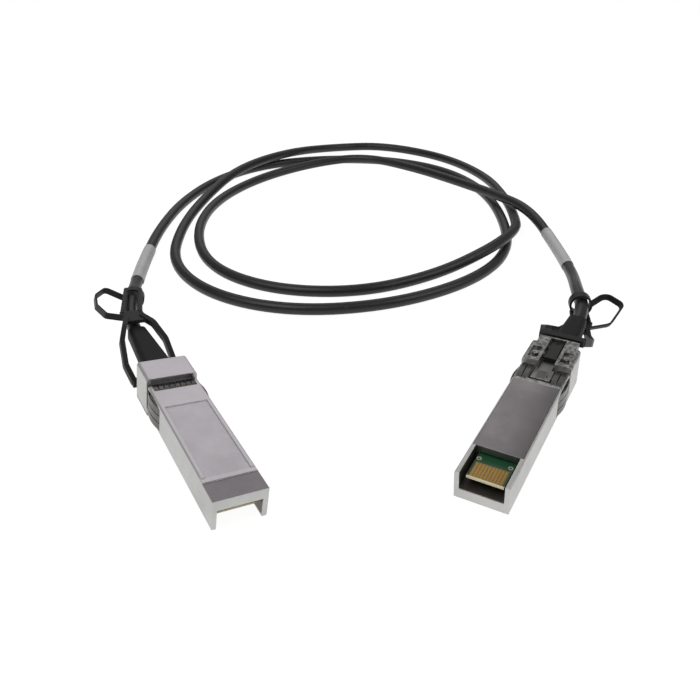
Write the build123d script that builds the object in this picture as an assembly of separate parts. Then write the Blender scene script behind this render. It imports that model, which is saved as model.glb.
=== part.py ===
from build123d import *
import math
import os

# Direct attach copper cable: two pluggable metal ends joined for good by one twinax cable.
# The left plug lies with its top side up, the right plug lies on its top side, and the cable
# makes two and a half loose turns behind them.
# Lengths are millimetres. The origin is on the floor, under the middle of the two plugs.
# +X is to the right, +Y runs away from the plugs' noses towards the turns, +Z is up.
# In a plug's own frame +X runs from its open nose to the cable, +Z points out of its top side
# and Z = 0 is the underside of its body.

# Plug body
BODY_WIDTH = 13.4
BODY_HEIGHT = 8.5
BODY_CORNER = 0.5
SIDE_WALL = 1.2
ROOF_WALL = 1.2
FLOOR_WALL = 0.5
CAVITY_END = 46.0

# Open nose and the steps on its top
MOUTH_LENGTH = 10.4
NOSE_PANEL_LENGTH = 6.4
NOSE_PANEL_DEPTH = 0.45
RIDGE_LENGTH = 1.4
RIDGE_DEPTH = 0.2
LABEL_RECESS_LENGTH = 28.7
LABEL_RECESS_DEPTH = 0.25
LABEL_BORDER = 1.2

# Head behind the cage stop, and the jaw below the strain relief
HEAD_START = 47.5
HEAD_LENGTH = 9.0
HEAD_OVERHANG = 0.15
HEAD_RISE = 1.6
HEAD_DROP = 1.6
HEAD_CORNER = 0.9
JAW_LENGTH = 4.0
JAW_INSET = 1.35
JAW_BOOT_GAP = 0.1
JAW_LIP_LENGTH = 0.9
JAW_LIP_HEIGHT = 0.5
JAW_CHAMFER = 0.6
CHEEK_START = 48.6
CHEEK_LENGTH = 5.6
CHEEK_WIDTH = 2.7
CHEEK_MIDDLE = 4.35
CHEEK_DEPTH = 0.9
RIVET_STATION = 51.4
RIVET_RADIUS = 0.8
RIVET_DROP = 0.15

# Spring finger collar and its seat
COLLAR_THICKNESS = 0.2
COLLAR_SEAT_DEPTH = 0.5
COLLAR_BAND_LENGTH = 0.9
COLLAR_CLEARANCE = 0.05
TOP_SLOT_MARGIN = 1.0
TOP_FINGERS = 8
TOP_FINGER_LENGTH = 3.4
TOP_FINGER_BOW = 0.35
TOP_TUCK_DEPTH = 2.2
TOP_TUCK_HEIGHT = 1.75
SIDE_FINGERS = 3
SIDE_FINGER_LENGTH = 10.6
SIDE_FINGER_BOW = 0.95
SIDE_FINGER_SPAN = 6.6
BOTTOM_FINGER_LENGTH = 7.0
BOTTOM_FINGER_BOW = 0.55
FINGER_SLIT = 0.35

# Bottom cover
COVER_LENGTH = 29.2
COVER_THICKNESS = 0.9
COVER_SKIN = 0.5
COVER_LEDGE = 0.75
COVER_EDGE_GAP = 0.12
COVER_LIP_THICKNESS = 0.7
COVER_LIP_HEIGHT = 1.9
COVER_RIB_WIDTH = 0.8
COVER_CLEARANCE = 0.05

# Paddle card, its contacts and the parts soldered on it
CARD_SETBACK = 2.0
CARD_LENGTH = 32.2
CARD_SIDE_CLEARANCE = 0.2
CARD_STEP = 0.7
CARD_THICKNESS = 1.0
CARD_UNDERSIDE = 2.25
CARD_ROOF_GAP = 2.0
CARD_BEVEL = 0.3
CARD_SHOULDER_STATION = 12.0
PAD_PITCH = 0.8
PAD_WIDTH = 0.6
PAD_MARGIN = 0.5
PAD_LENGTH = 4.8
PAD_THICKNESS = 0.05
PAD_SETBACK = 0.35
VIA_RADIUS = 0.35
VIA_STATION = 8.6
VIA_INSET = 0.7
CHIP_SIZE = 3.0
CHIP_HEIGHT = 0.9
CHIP_STATION = 17.0
CAPACITOR_COUNT = 4
CAPACITOR_LENGTH = 1.0
CAPACITOR_WIDTH = 0.5
CAPACITOR_PITCH = 1.6
CAPACITOR_STATION = 24.0

# Twinax cable and its ends inside the plug
CABLE_DIAMETER = 4.2
CABLE_RISE = 0.75
CABLE_CUT_STATION = 47.0
CORE_DIAMETER = 0.8
CORE_CABLE_OFFSET = 0.6
CORE_INNER_SPREAD = 0.7
CORE_OUTER_SPREAD = 2.1
CORE_STRAIGHT = 3.0
CORE_SLOPE = 5.5
CORE_LAP = 3.0
CORE_BEND_RADIUS = 1.5
FERRULE_WALL = 0.4
FERRULE_LENGTH = 6.0
FERRULE_STATION = 48.0
FERRULE_GROOVE_DEPTH = 0.15
FERRULE_GROOVE_WIDTH = 1.2
FERRULE_CLEARANCE = 0.05

# Strain relief
BOOT_LENGTH = 24.0
BOOT_BASE_WIDTH = 8.6
BOOT_HEIGHT = 5.0
BOOT_TIP_WIDTH = 5.6
BOOT_CORNER = 1.6
BOOT_NECK_LENGTH = 2.0
BOOT_CLEARANCE = 0.05

# Latch lever, its pin and spring, and the window that it works in
WINDOW_START = 40.8
WINDOW_WIDTH = 6.3
WINDOW_TOP = 2.1
CHANNEL_WIDTH = 4.4
CHANNEL_TOP = 1.9
LEVER_START = 42.0
LEVER_UNDERSIDE = 0.35
LEVER_THICKNESS = 0.5
LEVER_STRIP_WIDTH = 3.6
LEVER_PADDLE_WIDTH = 5.2
LEVER_PADDLE_LENGTH = 4.8
BOSS_STATION = 45.0
BOSS_LENGTH = 2.6
BOSS_WIDTH = 2.6
BOSS_DROP = 0.5
CAM_STATION = 53.5
CAM_RADIUS = 0.35
PIVOT_STATION = 58.5
PIVOT_HEIGHT = 0.85
PIN_RADIUS = 0.45
PIN_SEAT_CLEARANCE = 0.01
PIN_RUNNING_CLEARANCE = 0.05
PIN_SETBACK = 0.2
EYE_WALL = 0.4
SPRING_STATION = 43.9
SPRING_RADIUS = 0.72
SPRING_WIRE_RADIUS = 0.12
SPRING_TURNS = 3
SPRING_CLEARANCE = 0.15
SPRING_SEAT_GAP = 0.02
SPRING_POCKET_DEPTH = 0.9
SPRING_POCKET_WALL = 0.5

# Release slide
SLIDE_TRAVEL = 2.2
TONGUE_START = 50.8
TONGUE_WIDTH = 3.2
TONGUE_UNDERSIDE = -0.8
TONGUE_THICKNESS = 0.6
TONGUE_GRIP = 1.2
WEDGE_RISE = 0.35
WEDGE_FLAT = 0.8
WEDGE_RAMP = 1.6
DIMPLE_RADIUS = 0.45
DIMPLE_DEPTH = 0.2
DIMPLE_STATION = 58.2
EAR_LENGTH = 0.9
EAR_REACH = 4.2
STOP_CLEARANCE = 0.3

# Pull lanyard: a cross-bar on the slide's end, two straps, a bridge over the boot's tip, two
# ties to a ring round the cable, and a finger loop. It is soft, so the straps are alike on both
# plugs, while the ring and the loop lie where each cable's bend leaves them.
CROSSBAR_GAP = 1.0
CROSSBAR_LENGTH = 1.9
CROSSBAR_INSET = 0.45
CROSSBAR_BOTTOM = -1.3
CROSSBAR_TOP = 0.8
CROSSBAR_CLEARANCE = 0.02
STRAP_THICKNESS = 1.4
STRAP_WIDTH = 2.2
STRAP_RADIUS = 3.0
LEFT_STRAP = ((62.6, 5.9, -0.2), (67.5, 6.9, 2.6), (74.0, 6.2, 6.8), (79.0, 4.2, 8.8), (84.0, 2.4, 8.8))
RIGHT_STRAP = ((62.6, -5.9, -0.2), (68, -7.2, 1.6), (74.5, -6.8, 5.4), (79.6, -4.6, 8.6), (84.4, -2.4, 8.8))
BRIDGE_START = 81.2
BRIDGE_LENGTH = 6.4
BRIDGE_WIDTH = 6.8
BRIDGE_THICKNESS = 1.1
BRIDGE_BOTTOM = 8.25
BRIDGE_CORNER = 0.4
TIE_BRIDGE_SPREAD = 2.6
TIE_RING_SPREAD = 2.2
TIE_RADIUS = 0.8
LEFT_RING_REACH = 28.0
RIGHT_RING_REACH = 13.5
RING_CLEARANCE = 0.8
RING_WALL = 0.65
RING_LENGTH = 3.8
LOOP_THICKNESS = 0.6
LOOP_WIDTH = 1.9
LOOP_RADIUS = 2.4
LEFT_LOOP = ((109.4, 2.4, 6.4), (104.6, 6.6, 6.6), (97.0, 8.0, 7.0), (89.0, 7.0, 7.8))
RIGHT_LOOP = ((100.0, 3.8, 4.8), (96.4, 10.2, 5.4), (87.2, 8.6, 7.6))

# Wrap labels on the cable: thickness, length and distance of each from its boot
LABEL_THICKNESS = 0.3
LABEL_CLEARANCE = 0.03
LABEL_LENGTH = 32.0
LEFT_LABEL_REACH = 48.5
RIGHT_LABEL_REACH = 55.5

# Place of each plug: nose position at the underside, heading of its axis in degrees from +X,
# rise of the axis, and roll about it. The right plug is turned upside down.
LEFT_PLUG = ((-27.06, -47.91, 0.95), 119.96, 2.20, 8.13)
RIGHT_PLUG = ((27.38, -42.03, 8.25), 60.11, 4.54, 178.23)

# Straight stretch of the cable behind each boot
LEFT_LEAD = 8.0
RIGHT_LEAD = 8.0

# Middle of the cable at each corner of its route, between the two straight stretches
ROUTE = (
    (-75, 47.8, 8.2),
    (-79.2, 66.75, 3.9),
    (-82.1, 90.75, 2.75),
    (-83.8, 123.75, 2.3),
    (-80.6, 158.75, 2.1),
    (-69.3, 191.75, 2.1),
    (-47.3, 215.75, 2.1),
    (-14.3, 225.75, 2.1),
    (19.7, 223.25, 2.1),
    (47.7, 205.25, 2.1),
    (62.7, 174.75, 2.1),
    (65.9, 137.75, 2.1),
    (61.7, 99.75, 2.1),
    (43.7, 72.75, 2.1),
    (12.7, 53.75, 2.1),
    (-22.3, 48.75, 2.1),
    (-52.3, 61.25, 2.1),
    (-71.3, 87.75, 2.1),
    (-75, 123.75, 2.1),
    (-71.8, 157.75, 2.6),
    (-59.8, 191.75, 7),
    (-36.3, 221.75, 7),
    (-10.3, 248.75, 2.1),
    (17.7, 251.75, 2.1),
    (49.7, 229.75, 2.1),
    (67.7, 195.75, 2.1),
    (71.9, 159.75, 2.1),
    (70.5, 132.75, 2.7),
    (65.7, 109.75, 7.2),
    (51.7, 89.75, 7.2),
    (28.7, 75.75, 2.6),
    (-0.3, 62.75, 2.1),
    (-32.3, 65.75, 2.1),
    (-57.3, 85.75, 2.1),
    (-68.3, 121.75, 2.1),
    (-65.8, 158.75, 2.1),
    (-49.3, 191.75, 2.1),
    (-22.3, 209.75, 4.5),
    (5.7, 213.75, 6.9),
    (31.7, 192.75, 6.9),
    (49.2, 171.75, 7.2),
    (64.2, 152.25, 7.5),
    (76.2, 132.25, 7.5),
    (81, 100.75, 2.7),
    (79.5, 73.75, 4.2),
    (74.3, 51.5, 8.8),
)
CORNER_SHARE = 0.45

# Sizes that follow from the ones above
HALF_BODY = BODY_WIDTH / 2
INNER_HALF = HALF_BODY - SIDE_WALL
HEAD_WIDTH = BODY_WIDTH + 2 * HEAD_OVERHANG
JAW_WIDTH = HEAD_WIDTH - 2 * JAW_INSET
TOP_SLOT_WIDTH = BODY_WIDTH - 2 * TOP_SLOT_MARGIN
CABLE_HEIGHT = BODY_HEIGHT / 2 + CABLE_RISE
JAW_TOP = CABLE_HEIGHT - BOOT_HEIGHT / 2 - JAW_BOOT_GAP
CARD_SHOULDER_WIDTH = 2 * (INNER_HALF - CARD_SIDE_CLEARANCE)
CARD_WIDTH = CARD_SHOULDER_WIDTH - 2 * CARD_STEP
PAD_COUNT = int((CARD_WIDTH - 2 * PAD_MARGIN + PAD_PITCH - PAD_WIDTH) / PAD_PITCH)
VIA_SPREAD = CARD_WIDTH / 2 - VIA_INSET
HEAD_END = HEAD_START + HEAD_LENGTH
JAW_END = HEAD_END + JAW_LENGTH
HEAD_TOP = BODY_HEIGHT + HEAD_RISE
CARD_TOP = CARD_UNDERSIDE + CARD_THICKNESS
MOUTH_ROOF = CARD_TOP + CARD_ROOF_GAP
CAVITY_ROOF = BODY_HEIGHT - ROOF_WALL
LABEL_START = NOSE_PANEL_LENGTH + RIDGE_LENGTH
LABEL_END = LABEL_START + LABEL_RECESS_LENGTH
COVER_END = MOUTH_LENGTH + COVER_LENGTH
COLLAR_INSET = COLLAR_SEAT_DEPTH - COLLAR_CLEARANCE
BAND_END = HEAD_START - COLLAR_CLEARANCE
BAND_START = BAND_END - COLLAR_BAND_LENGTH
CABLE_RADIUS = CABLE_DIAMETER / 2
FERRULE_INNER = CABLE_RADIUS + FERRULE_CLEARANCE
FERRULE_OUTER = FERRULE_INNER + FERRULE_WALL
BORE_RADIUS = FERRULE_OUTER + FERRULE_CLEARANCE
BOOT_END = HEAD_END + BOOT_LENGTH
LEVER_TOP = LEVER_UNDERSIDE + LEVER_THICKNESS
EYE_BORE = PIN_RADIUS + PIN_RUNNING_CLEARANCE
SPRING_POCKET_RADIUS = SPRING_RADIUS + SPRING_WIRE_RADIUS + SPRING_CLEARANCE
SPRING_POCKET_TOP = WINDOW_TOP + SPRING_POCKET_DEPTH
TONGUE_TOP = TONGUE_UNDERSIDE + TONGUE_THICKNESS
CROSSBAR_START = JAW_END + CROSSBAR_GAP
CROSSBAR_END = CROSSBAR_START + CROSSBAR_LENGTH
TONGUE_END = CROSSBAR_START + TONGUE_GRIP
CROSSBAR_WIDTH = HEAD_WIDTH - 2 * CROSSBAR_INSET
RING_INNER = CABLE_RADIUS + RING_CLEARANCE
RING_OUTER = RING_INNER + RING_WALL


def side_profile(points, width):
    """Solid of an outline in the plug's X-Z plane, as wide as given, centred on Y = 0."""
    return extrude(Plane.XZ * Polygon(*points, align=None), amount=width / 2, both=True)


def end_profile(points, start, end):
    """Solid of an outline in the plug's Y-Z plane, from one station along the plug to another."""
    return extrude(Plane.YZ.offset(start) * Polygon(*points, align=None), amount=end - start)


def block(start, end, left, right, bottom, top):
    """Box between two stations, two sides and two heights of the plug."""
    return end_profile(((left, bottom), (right, bottom), (right, top), (left, top)), start, end)


def centred_block(start, end, width, bottom, top):
    """Box between two stations and two heights, centred on the plug's middle."""
    return block(start, end, -width / 2, width / 2, bottom, top)


def along_plug(sketch, start, end, height):
    """Solid of a section drawn about a line along the plug at one height."""
    section = Plane(origin=(start, 0, height), x_dir=(0, 1, 0), z_dir=(1, 0, 0)) * sketch
    return extrude(section, amount=end - start)


def across_plug(radius, station, height, half_length):
    """Round bar across the plug at a station and height."""
    seat = Plane(origin=(station, 0, height), x_dir=(1, 0, 0), z_dir=(0, 1, 0))
    return extrude(seat * Circle(radius), amount=half_length, both=True)


def upright(radius, station, side, bottom, top):
    """Round bar that stands along the plug's own Z."""
    return extrude(Plane.XY.offset(bottom) * Pos(station, side) * Circle(radius), amount=top - bottom)


def bowed_strip(start, end, flat, bow):
    """Outline of one collar finger: thin sheet from start to end that bows out in its middle."""
    middle = (start + end) / 2
    crown = flat + bow
    outer = ThreePointArc(
        (start, flat + COLLAR_THICKNESS), (middle, crown + COLLAR_THICKNESS), (end, flat + COLLAR_THICKNESS)
    )
    inner = ThreePointArc((end, flat), (middle, crown), (start, flat))
    return make_face([outer, Line(outer @ 1, inner @ 0), inner, Line(inner @ 1, outer @ 0)])


def ribbon(path, width, thickness, up):
    """Flat strip swept along a path, its thickness along the given direction where it starts."""
    section = Plane(origin=path @ 0, x_dir=Vector(*up), z_dir=path % 0) * Rectangle(thickness, width)
    return sweep(section, path=path)


def upper_shell():
    """Die-cast housing: nose, side walls, label recess, collar seat, head and jaw."""
    nose_top = BODY_HEIGHT - NOSE_PANEL_DEPTH
    ridge_top = BODY_HEIGHT - RIDGE_DEPTH
    outline = (
        (0, 0),
        (HEAD_START, 0),
        (HEAD_START, BODY_HEIGHT),
        (LABEL_START, BODY_HEIGHT),
        (LABEL_START, ridge_top),
        (NOSE_PANEL_LENGTH, ridge_top),
        (NOSE_PANEL_LENGTH, nose_top),
        (0, nose_top),
    )
    body_section = RectangleRounded(BODY_WIDTH, BODY_HEIGHT, BODY_CORNER)
    body = side_profile(outline, BODY_WIDTH) & along_plug(body_section, 0, HEAD_START, BODY_HEIGHT / 2)
    label_half = HALF_BODY - LABEL_BORDER
    label_floor = BODY_HEIGHT - LABEL_RECESS_DEPTH
    body -= block(LABEL_START, LABEL_END, -label_half, label_half, label_floor, HEAD_TOP)

    head_section = RectangleRounded(HEAD_WIDTH, HEAD_TOP + HEAD_DROP, HEAD_CORNER)
    head = along_plug(head_section, HEAD_START, HEAD_END, (HEAD_TOP - HEAD_DROP) / 2)
    jaw_outline = (
        (HEAD_START + HEAD_LENGTH / 2, -HEAD_DROP),
        (JAW_END - JAW_CHAMFER, -HEAD_DROP),
        (JAW_END, JAW_CHAMFER - HEAD_DROP),
        (JAW_END, JAW_TOP),
        (HEAD_START + HEAD_LENGTH / 2, JAW_TOP),
    )
    shell = body + head + side_profile(jaw_outline, JAW_WIDTH)

    floor_top = WINDOW_TOP + FLOOR_WALL
    shell -= centred_block(0, MOUTH_LENGTH, 2 * INNER_HALF, 0, MOUTH_ROOF)
    shell -= centred_block(MOUTH_LENGTH, COVER_END, 2 * INNER_HALF, 0, CAVITY_ROOF)
    shell -= centred_block(COVER_END, CAVITY_END, 2 * INNER_HALF, floor_top, CAVITY_ROOF)
    shell -= along_plug(Circle(BORE_RADIUS), CAVITY_END, HEAD_END, CABLE_HEIGHT)

    ledge_half = INNER_HALF + COVER_LEDGE
    shell -= centred_block(MOUTH_LENGTH, COVER_END, 2 * ledge_half, 0, COVER_SKIN + COVER_CLEARANCE)
    cheek_end = CHEEK_START + CHEEK_LENGTH
    cheek_floor = CHEEK_DEPTH - HEAD_DROP
    cheek = centred_block(CHEEK_START, cheek_end, CHEEK_WIDTH, -HEAD_DROP, cheek_floor)
    for middle in (-CHEEK_MIDDLE, CHEEK_MIDDLE):
        shell -= Pos(0, middle, 0) * cheek
        shell += upright(RIVET_RADIUS, RIVET_STATION, middle, RIVET_DROP - HEAD_DROP, cheek_floor)

    shell -= collar_seat()
    pocket_outer = SPRING_POCKET_RADIUS + SPRING_POCKET_WALL
    shell += upright(pocket_outer, SPRING_STATION, 0, WINDOW_TOP, SPRING_POCKET_TOP + SPRING_POCKET_WALL)
    shell -= upright(SPRING_POCKET_RADIUS, SPRING_STATION, 0, WINDOW_TOP, SPRING_POCKET_TOP)
    return shell - latch_window()


def collar_seat():
    """Space that the collar and its fingers lie in, cut out of the body and the head's front."""
    inner_width = BODY_WIDTH - 2 * COLLAR_SEAT_DEPTH
    inner_height = BODY_HEIGHT - 2 * COLLAR_SEAT_DEPTH
    band = Rectangle(BODY_WIDTH, BODY_HEIGHT) - RectangleRounded(inner_width, inner_height, BODY_CORNER)
    seat = along_plug(band, BAND_START - COLLAR_CLEARANCE, HEAD_START, BODY_HEIGHT / 2)

    top_floor = BODY_HEIGHT - COLLAR_SEAT_DEPTH
    top_start = BAND_END - TOP_FINGER_LENGTH - COLLAR_CLEARANCE
    seat += centred_block(top_start, HEAD_START, TOP_SLOT_WIDTH, top_floor, BODY_HEIGHT)
    tuck_end = HEAD_START + TOP_TUCK_DEPTH
    seat += centred_block(HEAD_START, tuck_end, TOP_SLOT_WIDTH, top_floor, top_floor + TOP_TUCK_HEIGHT)

    side_start = BAND_END - SIDE_FINGER_LENGTH - COLLAR_CLEARANCE
    side_bottom = (BODY_HEIGHT - SIDE_FINGER_SPAN) / 2 - COLLAR_CLEARANCE
    bottom_start = BAND_END - BOTTOM_FINGER_LENGTH - COLLAR_CLEARANCE
    for side in (-1, 1):
        seat_face = side * (HALF_BODY - COLLAR_SEAT_DEPTH)
        inner, outer = sorted((seat_face, side * HALF_BODY))
        seat += block(side_start, HEAD_START, inner, outer, side_bottom, BODY_HEIGHT - side_bottom)
        inner, outer = sorted((seat_face, side * WINDOW_WIDTH / 2))
        seat += block(bottom_start, HEAD_START, inner, outer, 0, COLLAR_SEAT_DEPTH)
    return seat


def latch_window():
    """Space below the cavity for the latch lever, its pin and the release slide."""
    lip_top = JAW_LIP_HEIGHT - HEAD_DROP
    room = centred_block(WINDOW_START, HEAD_START, WINDOW_WIDTH, 0, WINDOW_TOP)
    room += centred_block(HEAD_START, JAW_END, CHANNEL_WIDTH, lip_top, CHANNEL_TOP)
    room += centred_block(HEAD_START, JAW_END - JAW_LIP_LENGTH, CHANNEL_WIDTH, -HEAD_DROP, 0)
    stop_start = TONGUE_START - STOP_CLEARANCE
    stop_end = TONGUE_START + EAR_LENGTH + SLIDE_TRAVEL + STOP_CLEARANCE
    room += centred_block(
        stop_start,
        stop_end,
        2 * (EAR_REACH + STOP_CLEARANCE),
        TONGUE_UNDERSIDE - STOP_CLEARANCE,
        TONGUE_TOP + STOP_CLEARANCE,
    )
    return room + across_plug(PIN_RADIUS + PIN_SEAT_CLEARANCE, PIVOT_STATION, PIVOT_HEIGHT, JAW_WIDTH)


def lower_cover():
    """Cover of the body's underside: skin over the walls' ledges, mouth lip and two card ribs."""
    half = INNER_HALF - COVER_CLEARANCE
    start = MOUTH_LENGTH + COVER_CLEARANCE
    rib_inner = half - COVER_RIB_WIDTH
    rib_top = CARD_UNDERSIDE - COVER_CLEARANCE
    skin_half = INNER_HALF + COVER_LEDGE - COVER_EDGE_GAP
    section = (
        (-skin_half, 0),
        (skin_half, 0),
        (skin_half, COVER_SKIN),
        (half, COVER_SKIN),
        (half, rib_top),
        (rib_inner, rib_top),
        (rib_inner, COVER_THICKNESS),
        (-rib_inner, COVER_THICKNESS),
        (-rib_inner, rib_top),
        (-half, rib_top),
        (-half, COVER_SKIN),
        (-skin_half, COVER_SKIN),
    )
    plate = end_profile(section, start, COVER_END - COVER_CLEARANCE)
    return plate + centred_block(start, start + COVER_LIP_THICKNESS, 2 * half, 0, COVER_LIP_HEIGHT)


def emi_collar():
    """Sprung collar of thin sheet: a band round the body with bowed fingers towards the nose."""
    hole = RectangleRounded(BODY_WIDTH - 2 * COLLAR_INSET, BODY_HEIGHT - 2 * COLLAR_INSET, BODY_CORNER)
    sheet_inset = COLLAR_INSET - COLLAR_THICKNESS
    sheet = RectangleRounded(BODY_WIDTH - 2 * sheet_inset, BODY_HEIGHT - 2 * sheet_inset, BODY_CORNER)
    collar = along_plug(sheet - hole, BAND_START, BAND_END, BODY_HEIGHT / 2)
    gap_half = WINDOW_WIDTH / 2 + COLLAR_CLEARANCE
    collar -= centred_block(BAND_START, BAND_END, 2 * gap_half, 0, COLLAR_SEAT_DEPTH)

    top_half = TOP_SLOT_WIDTH / 2 - COLLAR_CLEARANCE
    top_pitch = (2 * top_half + FINGER_SLIT) / TOP_FINGERS
    top_width = top_pitch - FINGER_SLIT
    top_start = BAND_END - TOP_FINGER_LENGTH
    top_strip = bowed_strip(top_start, BAND_END, BODY_HEIGHT - COLLAR_INSET, TOP_FINGER_BOW)
    top_finger = extrude(Plane.XZ * top_strip, amount=top_width / 2, both=True)
    for index in range(TOP_FINGERS):
        collar += Pos(0, index * top_pitch + top_width / 2 - top_half, 0) * top_finger

    side_pitch = (SIDE_FINGER_SPAN + FINGER_SLIT) / SIDE_FINGERS
    side_start = BAND_END - SIDE_FINGER_LENGTH
    side_strip = bowed_strip(side_start, BAND_END, HALF_BODY - COLLAR_INSET, SIDE_FINGER_BOW)
    side_finger = extrude(side_strip, amount=side_pitch - FINGER_SLIT)
    for index in range(SIDE_FINGERS):
        finger = Pos(0, 0, (BODY_HEIGHT - SIDE_FINGER_SPAN) / 2 + index * side_pitch) * side_finger
        collar += finger
        collar += mirror(finger, about=Plane.XZ)

    bottom_outer = HALF_BODY - COLLAR_SEAT_DEPTH - COLLAR_CLEARANCE
    bottom_width = (bottom_outer - gap_half - FINGER_SLIT) / 2
    bottom_start = BAND_END - BOTTOM_FINGER_LENGTH
    bottom_strip = bowed_strip(bottom_start, BAND_END, -COLLAR_INSET, BOTTOM_FINGER_BOW)
    bottom_blank = extrude(Plane.XZ * bottom_strip, amount=bottom_width / 2, both=True)
    bottom_finger = mirror(bottom_blank, about=Plane.XY)
    for centre in (gap_half + bottom_width / 2, bottom_outer - bottom_width / 2):
        collar += Pos(0, centre, 0) * bottom_finger
        collar += Pos(0, -centre, 0) * bottom_finger
    return collar


def paddle_card():
    """Edge card with a bevelled front edge, shoulders inside the body and two plated holes."""
    end = CARD_SETBACK + CARD_LENGTH
    outline = (
        (CARD_SETBACK, CARD_UNDERSIDE + CARD_BEVEL),
        (CARD_SETBACK + CARD_BEVEL, CARD_UNDERSIDE),
        (end, CARD_UNDERSIDE),
        (end, CARD_TOP),
        (CARD_SETBACK + CARD_BEVEL, CARD_TOP),
        (CARD_SETBACK, CARD_TOP - CARD_BEVEL),
    )
    card = side_profile(outline, CARD_WIDTH)
    card += centred_block(CARD_SHOULDER_STATION, end, CARD_SHOULDER_WIDTH, CARD_UNDERSIDE, CARD_TOP)
    for side in (-VIA_SPREAD, VIA_SPREAD):
        card -= upright(VIA_RADIUS, VIA_STATION, side, CARD_UNDERSIDE, CARD_TOP)
    return card


def gold_contacts():
    """Rows of contact pads on both faces of the card."""
    start = CARD_SETBACK + PAD_SETBACK
    pads = []
    for index in range(PAD_COUNT):
        centre = (index - (PAD_COUNT - 1) / 2) * PAD_PITCH
        left = centre - PAD_WIDTH / 2
        for face in (CARD_TOP, CARD_UNDERSIDE - PAD_THICKNESS):
            pads.append(block(start, start + PAD_LENGTH, left, left + PAD_WIDTH, face, face + PAD_THICKNESS))
    return pads


def card_parts():
    """Memory chip and the row of coupling capacitors soldered on the card."""
    chip_end = CHIP_STATION + CHIP_SIZE
    parts = [centred_block(CHIP_STATION, chip_end, CHIP_SIZE, CARD_TOP, CARD_TOP + CHIP_HEIGHT)]
    end = CAPACITOR_STATION + CAPACITOR_LENGTH
    for index in range(CAPACITOR_COUNT):
        middle = (index - (CAPACITOR_COUNT - 1) / 2) * CAPACITOR_PITCH
        top = CARD_TOP + CAPACITOR_WIDTH
        capacitor = centred_block(CAPACITOR_STATION, end, CAPACITOR_WIDTH, CARD_TOP, top)
        parts.append(Pos(0, middle, 0) * capacitor)
    return parts


def twinax_conductors():
    """Four insulated cores from the cable's cut end to the tail of the card."""
    slope_start = CABLE_CUT_STATION - CORE_STRAIGHT
    slope_end = slope_start - CORE_SLOPE
    lap_end = CARD_SETBACK + CARD_LENGTH - CORE_LAP
    lap_height = CARD_TOP + CORE_DIAMETER / 2
    cores = []
    for side in (-1, 1):
        for lift, spread in ((-1, CORE_INNER_SPREAD), (1, CORE_OUTER_SPREAD)):
            near = (side * CORE_CABLE_OFFSET, CABLE_HEIGHT + lift * CORE_CABLE_OFFSET)
            far = (side * spread, lap_height)
            path = FilletPolyline(
                (CABLE_CUT_STATION, *near),
                (slope_start, *near),
                (slope_end, *far),
                (lap_end, *far),
                radius=CORE_BEND_RADIUS,
            )
            section = Plane(origin=path @ 0, z_dir=path % 0) * Circle(CORE_DIAMETER / 2)
            cores.append(sweep(section, path=path))
    return cores


def crimp_ferrule():
    """Crimp sleeve on the cable's end, with one pressed groove."""
    end = FERRULE_STATION + FERRULE_LENGTH
    middle = (FERRULE_STATION + end) / 2
    sleeve = along_plug(Circle(FERRULE_OUTER) - Circle(FERRULE_INNER), FERRULE_STATION, end, CABLE_HEIGHT)
    groove = Circle(FERRULE_OUTER) - Circle(FERRULE_OUTER - FERRULE_GROOVE_DEPTH)
    start = middle - FERRULE_GROOVE_WIDTH / 2
    return sleeve - along_plug(groove, start, start + FERRULE_GROOVE_WIDTH, CABLE_HEIGHT)


def boot():
    """Tapered strain relief with a neck that seats in the head's bore."""
    base = Plane(origin=(HEAD_END, 0, CABLE_HEIGHT), x_dir=(0, 1, 0), z_dir=(1, 0, 0))
    tip = base.offset(BOOT_LENGTH)
    body = loft(
        [
            base * RectangleRounded(BOOT_BASE_WIDTH, BOOT_HEIGHT, BOOT_CORNER),
            tip * RectangleRounded(BOOT_TIP_WIDTH, BOOT_HEIGHT, BOOT_CORNER),
        ]
    )
    body += along_plug(Circle(FERRULE_OUTER), HEAD_END - BOOT_NECK_LENGTH, HEAD_END, CABLE_HEIGHT)
    bore = Circle(CABLE_RADIUS + BOOT_CLEARANCE)
    return body - along_plug(bore, HEAD_END - BOOT_NECK_LENGTH, BOOT_END, CABLE_HEIGHT)


def latch_lever():
    """Stamped lever: paddle with a wedge boss in front, strip with a cam, and the pivot eye."""
    paddle_end = LEVER_START + LEVER_PADDLE_LENGTH
    lever = centred_block(LEVER_START, paddle_end, LEVER_PADDLE_WIDTH, LEVER_UNDERSIDE, LEVER_TOP)
    lever += centred_block(paddle_end, PIVOT_STATION, LEVER_STRIP_WIDTH, LEVER_UNDERSIDE, LEVER_TOP)
    boss_outline = (
        (BOSS_STATION - BOSS_LENGTH, LEVER_UNDERSIDE),
        (BOSS_STATION, -BOSS_DROP),
        (BOSS_STATION, LEVER_TOP),
        (BOSS_STATION - BOSS_LENGTH, LEVER_TOP),
    )
    lever += side_profile(boss_outline, BOSS_WIDTH)
    lever += across_plug(CAM_RADIUS, CAM_STATION, LEVER_UNDERSIDE, LEVER_STRIP_WIDTH / 2)
    lever += across_plug(EYE_BORE + EYE_WALL, PIVOT_STATION, PIVOT_HEIGHT, LEVER_STRIP_WIDTH / 2)
    return lever - across_plug(EYE_BORE, PIVOT_STATION, PIVOT_HEIGHT, LEVER_STRIP_WIDTH)


def pivot_pin():
    """Pin across the jaw that the lever turns on."""
    return across_plug(PIN_RADIUS, PIVOT_STATION, PIVOT_HEIGHT, JAW_WIDTH / 2 - PIN_SETBACK)


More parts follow.
